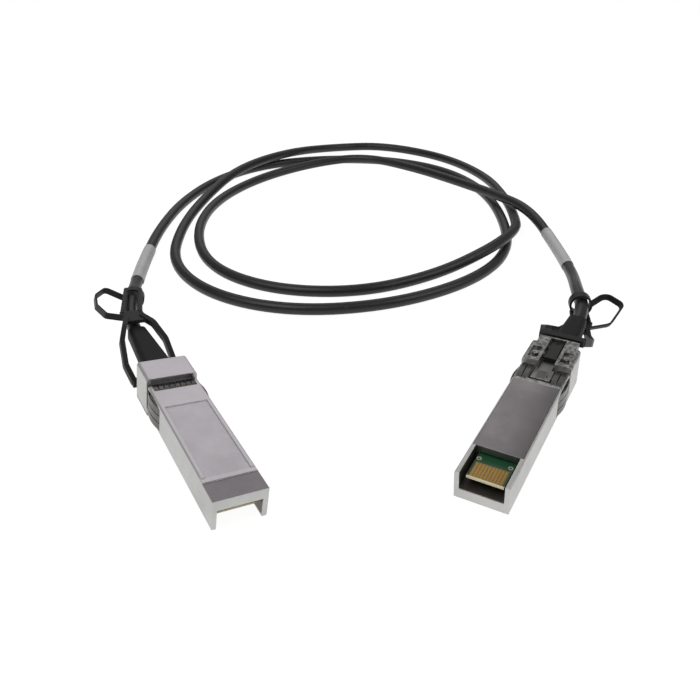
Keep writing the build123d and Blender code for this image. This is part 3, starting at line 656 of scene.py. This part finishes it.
@dataclass(frozen=True)
class BoardFinish:
    """Glass-fibre board: woven cloth under green mask, bare tan laminate, a cream bevel."""

    SHADE = Texture(700.0, 4.0)
    SHADE_SHARE = 0.6
    SHADE_ROUGHNESS = 0.16
    CLOTH_SCALE = 900.0
    CLOTH_OFFSET = 0.5
    CLOTH_SHARE = 0.4
    CLOTH_DEPTH = 0.000006
    LAMINATE_SHARE = 0.9
    RING_SHARE = 0.8
    RIM_REACH = 0.00012
    RIM_SHARE = 0.5

    name: str
    seat: Seat
    colour: Colour = (0.001, 0.056, 0.016)
    thread: Colour = (0.002, 0.084, 0.026)
    laminate: Colour = (0.30, 0.17, 0.055)
    bevel: Colour = (0.86, 0.78, 0.50)
    ring: Colour = (0.48, 0.50, 0.40)
    roughness: float = 0.30
    coat: float = 0.12
    coat_roughness: float = 0.16
    edge_radius: float = 0.00010
    bevel_end: float = 0.00235
    bevel_blur: float = 0.0001
    pads_end: float = 0.0073
    pads_half: float = 0.0041
    via: Point = (0.0086, 0.0039, 0.00275)
    via_radius: float = 0.00080

    def mask(self, graph: Graph, body: Signal) -> Signal:
        """Leave the laminate bare between the pads, and show the bevel and the plated holes' rings.

        Args:
            graph: the material's graph.
            body: the colour of the mask.

        Returns:
            The board's colour.
        """
        along, across, _ = graph.axes(self.seat)
        bare = graph.band(along, self.bevel_end, self.pads_end)
        bare = bare * graph.band(across, -self.pads_half, self.pads_half)
        body = graph.mix(bare * self.LAMINATE_SHARE, body, self.laminate)
        front = 1.0 - graph.spread(along, self.bevel_end - self.bevel_blur, self.bevel_end)
        body = graph.mix(front, body, self.bevel)
        for side in (1.0, -1.0):
            centre = (self.via[0], side * self.via[1], self.via[2])
            ring = graph.spot(self.seat, centre, self.via_radius)
            body = graph.mix(ring * self.RING_SHARE, body, self.ring)
        return body

    def build(self) -> bpy.types.Material:
        """Make the material.

        Returns:
            The material.
        """
        graph = Graph(self.name)
        weave = {"Vector": graph.place(self.seat), "Scale": self.CLOTH_SCALE}
        cloth = graph.add("ShaderNodeTexBrick", {"offset": self.CLOTH_OFFSET}, weave, "Fac")
        shade = graph.noise(self.SHADE)
        share = (shade * self.SHADE_SHARE + cloth * self.CLOTH_SHARE).clamped()
        body = self.mask(graph, graph.mix(share, self.colour, self.thread))
        rim = graph.worn_edges(self.RIM_REACH)
        return graph.finish(
            base=graph.mix(rim * self.RIM_SHARE, body, self.bevel),
            roughness=(self.roughness + shade * self.SHADE_ROUGHNESS).clamped(),
            coat=self.coat,
            coat_roughness=self.coat_roughness,
            normal=graph.bump(cloth, self.CLOTH_DEPTH, graph.soft_edges(self.edge_radius)),
        )


@dataclass(frozen=True)
class LabelFinish:
    """Bare wrap label: paper-fine film with soft scuffs and a lifted seam edge."""

    WEAVE = Texture(2200.0, 3.0)
    SCUFFS = Texture(150.0, 5.0, 0.45, 0.75)
    WEAVE_DEPTH = 0.000010
    WEAVE_ROUGHNESS = 0.18
    SCUFF_SHARE = 0.45
    RUB_REACH = 0.0002
    RUB_SHARE = 0.4

    name: str = "wrap_label"
    colour: Colour = (0.55, 0.55, 0.56)
    scuff: Colour = (0.38, 0.38, 0.39)
    roughness: float = 0.34
    specular: float = 0.45
    edge_radius: float = 0.0001

    def build(self) -> bpy.types.Material:
        """Make the material.

        Returns:
            The material.
        """
        graph = Graph(self.name)
        weave = graph.noise(self.WEAVE)
        rubbed = graph.worn_edges(self.RUB_REACH)
        share = graph.patches(self.SCUFFS) * self.SCUFF_SHARE + rubbed * self.RUB_SHARE
        return graph.finish(
            base=graph.mix(share.clamped(), self.colour, self.scuff),
            roughness=(self.roughness + weave * self.WEAVE_ROUGHNESS).clamped(),
            specular=self.specular,
            normal=graph.bump(weave, self.WEAVE_DEPTH, graph.soft_edges(self.edge_radius)),
        )


def smooth_by_angle(mesh: bpy.types.Mesh, degrees: float) -> None:
    """Shade a mesh smooth but for its sharp edges.

    Args:
        mesh: the mesh.
        degrees: the angle from which an edge stays sharp.
    """
    mesh.shade_smooth()
    mesh.set_sharp_from_angle(angle=math.radians(degrees))


def dress(node: str, material: bpy.types.Material) -> bpy.types.Object:
    """Give a CAD node its material.

    Args:
        node: the node's name.
        material: the material that it gets.

    Returns:
        The node's object.
    """
    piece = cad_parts[node]
    piece.data.materials.clear()
    piece.data.materials.append(material)
    log.info("dressed %s with %s", node, material.name)
    return piece


@dataclass
class Plug:
    """One metal plug with its latch, release slide and pull lanyard."""

    side: Side
    seat: Seat
    finishes: dict[str, bpy.types.Material]
    spring_station: float = 0.0439
    spring_top: float = 0.00298
    spring_pressed: float = 0.59

    PIECES = {
        "upper_shell": "casting",
        "lower_cover": "cover",
        "emi_collar": "collar",
        "paddle_card": "board",
        "gold_contacts": "gold",
        "card_parts": "chip",
        "twinax_conductors": "core",
        "crimp_ferrule": "ferrule",
        "boot": "boot",
        "latch_lever": "lever",
        "pivot_pin": "ferrule",
        "release_slide": "slide",
        "pull_lanyard": "pull",
    }

    def spring(self) -> bpy.types.Object:
        """Make the latch spring as a copy of the CAD spring in the ferrule's finish, hiding the CAD
        node.

        Returns:
            The spring's object.
        """
        node = f"{self.side.value}_latch_spring"
        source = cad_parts[node]
        piece = bpy.data.objects.new(f"{self.side.value}_latch_coil", source.data.copy())
        piece.matrix_world = source.matrix_world
        piece.data.materials.clear()
        piece.data.materials.append(self.finishes["ferrule"])
        bpy.context.scene.collection.objects.link(piece)
        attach(piece, "root")
        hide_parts(node)
        tuple(self.seat.axes()[2])
        tuple(self.seat.point(self.spring_station, 0.0, self.spring_top))
        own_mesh(piece)
        log.info("made %s", piece.name)
        return piece

    def build(self) -> None:
        """Dress every piece of the plug and make its spring."""
        for piece, finish in self.PIECES.items():
            dress(f"{self.side.value}_{piece}", self.finishes[finish])
        self.spring()


@dataclass
class Cable:
    """The twinax cable: one smooth line through the corners of its route."""

    diameter: float = 0.0042
    length: float = 1.48
    lead: float = 0.008
    boot_end: float = 0.0805
    height: float = 0.005
    curve_order: int = 3
    curve_steps: int = 10
    round_steps: int = 5
    route: tuple[Point, ...] = (
        (-0.075, 0.0478, 0.0082),
        (-0.0792, 0.06675, 0.0039),
        (-0.0821, 0.09075, 0.00275),
        (-0.0838, 0.12375, 0.0023),
        (-0.0806, 0.15875, 0.0021),
        (-0.0693, 0.19175, 0.0021),
        (-0.0473, 0.21575, 0.0021),
        (-0.0143, 0.22575, 0.0021),
        (0.0197, 0.22325, 0.0021),
        (0.0477, 0.20525, 0.0021),
        (0.0627, 0.17475, 0.0021),
        (0.0659, 0.13775, 0.0021),
        (0.0617, 0.09975, 0.0021),
        (0.0437, 0.07275, 0.0021),
        (0.0127, 0.05375, 0.0021),
        (-0.0223, 0.04875, 0.0021),
        (-0.0523, 0.06125, 0.0021),
        (-0.0713, 0.08775, 0.0021),
        (-0.075, 0.12375, 0.0021),
        (-0.0718, 0.15775, 0.0026),
        (-0.0598, 0.19175, 0.007),
        (-0.0363, 0.22175, 0.007),
        (-0.0103, 0.24875, 0.0021),
        (0.0177, 0.25175, 0.0021),
        (0.0497, 0.22975, 0.0021),
        (0.0677, 0.19575, 0.0021),
        (0.0719, 0.15975, 0.0021),
        (0.0705, 0.13275, 0.0027),
        (0.0657, 0.10975, 0.0072),
        (0.0517, 0.08975, 0.0072),
        (0.0287, 0.07575, 0.0026),
        (-0.0003, 0.06275, 0.0021),
        (-0.0323, 0.06575, 0.0021),
        (-0.0573, 0.08575, 0.0021),
        (-0.0683, 0.12175, 0.0021),
        (-0.0658, 0.15875, 0.0021),
        (-0.0493, 0.19175, 0.0021),
        (-0.0223, 0.20975, 0.0045),
        (0.0057, 0.21375, 0.0069),
        (0.0317, 0.19275, 0.0069),
        (0.0492, 0.17175, 0.0072),
        (0.0642, 0.15225, 0.0075),
        (0.0762, 0.13225, 0.0075),
        (0.081, 0.10075, 0.0027),
        (0.0795, 0.07375, 0.0042),
        (0.0743, 0.0515, 0.0088),
    )

    def exits(self) -> tuple[Vector, Vector, Vector, Vector]:
        """Find where the cable leaves the two boots.

        Returns:
            The left exit, the end of its straight lead, the end of the right lead, and the
            right exit.
        """
        seats = (LEFT_SEAT, RIGHT_SEAT)
        left, right = (seat.point(self.boot_end, 0.0, self.height) for seat in seats)
        turn = self.boot_end + self.lead
        left_turn, right_turn = (seat.point(turn, 0.0, self.height) for seat in seats)
        return left, left_turn, right_turn, right

    def line(self, name: str) -> bpy.types.Curve:
        """Curve through the route with no thickness.

        Args:
            name: the curve's name.

        Returns:
            The curve.
        """
        left, left_turn, right_turn, right = self.exits()
        points = (left, left_turn, *self.route, right_turn, right)
        curve = bpy.data.curves.new(name, "CURVE")
        curve.dimensions = "3D"
        spline = curve.splines.new("NURBS")
        spline.points.add(len(points) - 1)
        for point, corner in zip(spline.points, points):
            point.co = (*corner, 1.0)
        spline.order_u = self.curve_order
        spline.use_endpoint_u = True
        spline.resolution_u = self.curve_steps
        return curve

    def samples(self) -> list[Vector]:
        """Walk the cable's smooth line.

        Returns:
            Points along it, from the left boot to the right one.
        """
        guide = bpy.data.objects.new("cable_guide", self.line("cable_guide"))
        bpy.context.scene.collection.objects.link(guide)
        bpy.context.view_layer.update()
        mesh = bpy.data.meshes.new_from_object(guide)
        points = [vertex.co.copy() for vertex in mesh.vertices]
        bpy.data.objects.remove(guide)
        bpy.data.meshes.remove(mesh)
        return points

    def build(self, jacket: bpy.types.Material, labels: list[bpy.types.Object]) -> bpy.types.Object:
        """Args:
            jacket: the jacket's material.
            labels: the wrap labels on it; not used.

        Returns:
            The cable's object.
        """
        curve = self.line("cable_jacket")
        curve.bevel_depth = self.diameter / 2
        curve.bevel_resolution = self.round_steps
        curve.use_fill_caps = True
        curve.materials.append(jacket)
        piece = bpy.data.objects.new("cable_jacket", curve)
        bpy.context.scene.collection.objects.link(piece)
        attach(piece, "root")
        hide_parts("cable")
        left, _, _, _ = self.exits()
        log.info("made %s", piece.name)
        return piece


@dataclass
class WrapLabel:
    """Bare film label wrapped once round the cable, its end lapped over its start."""

    side: Side
    reach: float
    length: float = 0.032
    inner: float = 0.00213
    film: float = 0.00016
    seam: float = 2.2
    lap: float = 0.6
    lift: float = 0.00006
    lift_lap: float = 0.12
    wave: float = 0.00002
    waves: int = 3
    wave_start: float = 1.3
    pinch: float = 0.00003
    smooth_to: float = 40.0
    rings: int = 40
    steps: int = 36

    def stretch(self, points: list[Vector]) -> list[Vector]:
        """Evenly spaced points along the stretch of cable that the label covers.

        Args:
            points: the cable's line, from the plug that the label is near.

        Returns:
            The points.
        """
        marks = [0.0]
        for before, after in zip(points, points[1:]):
            marks.append(marks[-1] + (after - before).length)
        found = []
        place = 0
        for index in range(self.rings + 1):
            wanted = self.reach + self.length * index / self.rings
            while marks[place + 1] < wanted:
                place += 1
            share = (wanted - marks[place]) / (marks[place + 1] - marks[place])
            found.append(points[place].lerp(points[place + 1], share))
        return found

    def radius(self, angle: float, edge: float) -> float:
        """Outer radius at an angle round the cable.

        Args:
            angle: the angle, from 0 at the seam to a full turn.
            edge: 1 at the label's two ends and 0 inside.

        Returns:
            The radius in metres.
        """
        lapped = 1.0 if angle > FULL_TURN - self.lap else 0.0
        lift = max(0.0, 1.0 - (FULL_TURN - angle) / self.lift_lap) * self.lift
        wave = self.wave * math.sin(self.waves * angle + self.wave_start)
        return self.inner + self.film * (1.0 + lapped) + lift + wave - self.pinch * edge

    def corners(self, line: list[Vector]) -> list[Vector]:
        """Work out the film's corners.

        Args:
            line: the middle of the cable at each ring of corners.

        Returns:
            For each ring, the corners of the outer skin and then those of the inner skin.
        """
        corners = []
        across = Vector((0.0, 0.0, 1.0))
        for index, middle in enumerate(line):
            ahead = (line[min(index + 1, self.rings)] - line[max(index - 1, 0)]).normalized()
            across = (across - ahead * across.dot(ahead)).normalized()
            side = ahead.cross(across)
            edge = 1.0 if index in (0, self.rings) else 0.0
            arms = []
            for step in range(self.steps + 1):
                angle = FULL_TURN * step / self.steps
                turn = angle + self.seam
                arms.append((angle, across * math.cos(turn) + side * math.sin(turn)))
            corners += [middle + arm * self.radius(angle, edge) for angle, arm in arms]
            corners += [middle + arm * self.inner for _, arm in arms]
        return corners

    def faces(self) -> list[tuple[int, int, int, int]]:
        """Join the corners.

        Returns:
            The faces of both skins, of the seam's two edges and of the label's two ends.
        """
        skin = self.steps + 1
        row = 2 * skin
        faces = []
        for ring in range(0, self.rings * row, row):
            for outer in range(ring, ring + self.steps):
                inner = outer + skin
                faces.append((outer, outer + 1, outer + row + 1, outer + row))
                faces.append((inner, inner + row, inner + row + 1, inner + 1))
            for outer in (ring, ring + self.steps):
                inner = outer + skin
                faces.append((outer, outer + row, inner + row, inner))
        for ring in (0, self.rings * row):
            for outer in range(ring, ring + self.steps):
                inner = outer + skin
                faces.append((outer, inner, inner + 1, outer + 1))
        return faces

    def build(self, points: list[Vector], film: bpy.types.Material) -> bpy.types.Object:
        """Make the label round the cable's line.

        Args:
            points: the cable's line, from the plug that the label is near.
            film: the label's material.

        Returns:
            The label's object.
        """
        mesh = bpy.data.meshes.new(f"{self.side.value}_wrap_label")
        mesh.from_pydata(self.corners(self.stretch(points)), [], self.faces())
        mesh.materials.append(film)
        smooth_by_angle(mesh, self.smooth_to)
        piece = bpy.data.objects.new(mesh.name, mesh)
        bpy.context.scene.collection.objects.link(piece)
        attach(piece, "root")
        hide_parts(f"{self.side.value}_cable_label")
        log.info("made %s", mesh.name)
        return piece


@dataclass(frozen=True)
class Lamp:
    """One soft square lamp."""

    name: str
    place: Point
    size: float
    power: float


@dataclass(frozen=True)
class Studio:
    """Pale floor, soft lamps and the camera."""

    LAMPS = (
        Lamp("key_lamp", (-0.35, -0.25, 0.75), 0.6, 2.6),
        Lamp("fill_lamp", (0.55, -0.10, 0.55), 0.5, 1.3),
        Lamp("back_lamp", (0.0, 0.75, 0.60), 0.7, 1.0),
    )

    lens: float = 36.34
    sensor: float = 36.0
    clip_start: float = 0.01
    tilt: float = 58.44
    eye: Point = (-0.0023, -0.16225, 0.11646)
    aim: Point = (0.0, 0.06, 0.0)
    floor_colour: Colour = (0.80, 0.80, 0.80)
    floor_roughness: float = 0.9
    floor_specular: float = 0.1
    floor_reach: float = 4.0
    floor_glow: float = 1.21
    seen_glow: float = 0.78
    mirrored_glow: float = 0.68
    room_light: float = 0.24
    backdrop_light: float = 1.0

    def camera(self) -> None:
        """Put the camera where the photograph was taken from."""
        data = bpy.data.cameras.new("camera")
        data.lens = self.lens
        data.sensor_width = self.sensor
        data.clip_start = self.clip_start
        piece = bpy.data.objects.new("camera", data)
        piece.location = self.eye
        piece.rotation_euler = (math.radians(self.tilt), 0.0, 0.0)
        bpy.context.scene.collection.objects.link(piece)
        bpy.context.scene.camera = piece

    def floor_finish(self) -> bpy.types.Material:
        """Make a pale finish that looks white to the camera and in metal, and keeps soft shadows.

        Returns:
            The material.
        """
        graph = Graph("pale_floor")
        graph.finish(
            base=self.floor_colour,
            roughness=self.floor_roughness,
            specular=self.floor_specular,
        )
        glow = graph.add("ShaderNodeEmission", {}, {"Color": WHITE, "Strength": self.floor_glow})
        seen = graph.add("ShaderNodeLightPath", {}, {}, "Is Camera Ray")
        mirrored = graph.add("ShaderNodeLightPath", {}, {}, "Is Glossy Ray")
        share = (seen * self.seen_glow + mirrored * self.mirrored_glow).clamped()
        plain = Signal(graph, graph.shader.outputs[0])
        blend = graph.add("ShaderNodeMixShader", {}, {0: share, 1: plain, 2: glow})
        graph.feed(graph.surface, blend)
        return graph.material

    def floor(self) -> None:
        """Lay a wide pale floor."""
        mesh = bpy.data.meshes.new("floor")
        reach = self.floor_reach
        corners = [(-reach, -reach, 0), (reach, -reach, 0), (reach, reach, 0), (-reach, reach, 0)]
        mesh.from_pydata(corners, [], [(0, 1, 2, 3)])
        mesh.materials.append(self.floor_finish())
        piece = bpy.data.objects.new("floor", mesh)
        bpy.context.scene.collection.objects.link(piece)

    def hang(self, lamp: Lamp) -> None:
        """Hang one lamp that faces the object.

        Args:
            lamp: the lamp.
        """
        data = bpy.data.lights.new(lamp.name, "AREA")
        data.shape = "SQUARE"
        data.size = lamp.size
        data.energy = lamp.power
        piece = bpy.data.objects.new(lamp.name, data)
        piece.location = lamp.place
        ray = Vector(self.aim) - Vector(lamp.place)
        piece.rotation_euler = ray.to_track_quat("-Z", "Y").to_euler()
        bpy.context.scene.collection.objects.link(piece)

    def world(self) -> None:
        """Light the room softly, with white behind everything."""
        world = bpy.data.worlds.new("room")
        bpy.context.scene.world = world
        world.use_nodes = True
        tree = world.node_tree
        tree.nodes.clear()
        seen = tree.nodes.new("ShaderNodeLightPath")
        blend = tree.nodes.new("ShaderNodeMixShader")
        output = tree.nodes.new("ShaderNodeOutputWorld")
        tree.links.new(seen.outputs["Is Camera Ray"], blend.inputs[0])
        for socket, strength in ((1, self.room_light), (2, self.backdrop_light)):
            light = tree.nodes.new("ShaderNodeBackground")
            light.inputs["Color"].default_value = (*WHITE, 1.0)
            light.inputs["Strength"].default_value = strength
            tree.links.new(light.outputs[0], blend.inputs[socket])
        tree.links.new(blend.outputs[0], output.inputs["Surface"])

    def build(self) -> None:
        """Set up the whole studio."""
        bpy.context.scene.view_settings.view_transform = "Standard"
        self.camera()
        self.floor()
        for lamp in self.LAMPS:
            self.hang(lamp)
        self.world()


def metal_finishes(tag: str, seat: Seat) -> list[MetalFinish]:
    """List the metals of one plug.

    Args:
        tag: what the materials' names start with.
        seat: where the plug lies.

    Returns:
        The finishes.
    """
    cast, brushed, stamped = Grain.CAST, Grain.BRUSHED, Grain.STAMPED
    light, drift = (0.60, 0.60, 0.585), (0.54, 0.54, 0.525)
    casting = CastingFinish(f"{tag}_casting", seat, light, drift, cast, 0.42, 0.85)
    light, drift = (0.325, 0.30, 0.31), (0.265, 0.246, 0.254)
    cover = CoverFinish(f"{tag}_cover", seat, light, drift, brushed, 0.38, wear=0.3)
    # painted shade: the collar is coloured deep grey to stand in for the shadow in the slot under
    # the head
    light, drift = (0.17, 0.165, 0.158), (0.10, 0.095, 0.09)
    collar = MetalFinish(f"{tag}_collar", seat, light, drift, stamped, 0.34, wear=0.22)
    light, drift = (0.26, 0.255, 0.245), (0.17, 0.165, 0.16)
    lever = MetalFinish(f"{tag}_lever", seat, light, drift, stamped, 0.36)
    light, drift = (0.55, 0.53, 0.50), (0.45, 0.43, 0.40)
    ferrule = MetalFinish(f"{tag}_ferrule", seat, light, drift, brushed, 0.33)
    light, drift = (0.42, 0.26, 0.075), (0.35, 0.21, 0.06)
    gold = MetalFinish(f"{tag}_gold", seat, light, drift, stamped, 0.30, wear=0.1)
    return [casting, cover, collar, lever, ferrule, gold]


def moulded_finishes(tag: str) -> list[MouldedFinish]:
    """List the plastics and rubbers of one plug.

    Args:
        tag: what the materials' names start with.

    Returns:
        The finishes.
    """
    return [
        MouldedFinish(f"{tag}_chip", (0.014, 0.014, 0.015), (0.03, 0.03, 0.03), 0.5),
        MouldedFinish(f"{tag}_core", (0.62, 0.62, 0.64), (0.70, 0.70, 0.71), 0.40),
        MouldedFinish(f"{tag}_boot", (0.009, 0.009, 0.010), (0.018, 0.018, 0.019), 0.60, 0.28),
        MouldedFinish(f"{tag}_slide", (0.012, 0.012, 0.012), (0.040, 0.039, 0.040), 0.42, 0.35),
        MouldedFinish(f"{tag}_pull", (0.009, 0.0095, 0.009), (0.022, 0.022, 0.023), 0.50, 0.32),
    ]


def plug_finishes(side: Side, seat: Seat) -> dict[str, bpy.types.Material]:
    """Make the finishes of one plug.

    Args:
        side: which plug.
        seat: where it lies.

    Returns:
        The materials by name.
    """
    tag = side.value
    board = BoardFinish(f"{tag}_board", seat)
    finishes = [*metal_finishes(tag, seat), board, *moulded_finishes(tag)]
    return {finish.name.removeprefix(f"{tag}_"): finish.build() for finish in finishes}


def main() -> None:
    """Build the studio, the cable, its labels and both plugs."""
    logging.basicConfig(level=logging.INFO)
    Studio().build()
    cable = Cable()
    points = cable.samples()
    film = LabelFinish().build()
    labels = [
        WrapLabel(Side.LEFT, LEFT_LABEL_REACH).build(points, film),
        WrapLabel(Side.RIGHT, RIGHT_LABEL_REACH).build(points[::-1], film),
    ]
    cable.build(JacketFinish().build(), labels)
    for side, seat in ((Side.LEFT, LEFT_SEAT), (Side.RIGHT, RIGHT_SEAT)):
        Plug(side, seat, plug_finishes(side, seat)).build()


if __name__ == "__main__":
    main()
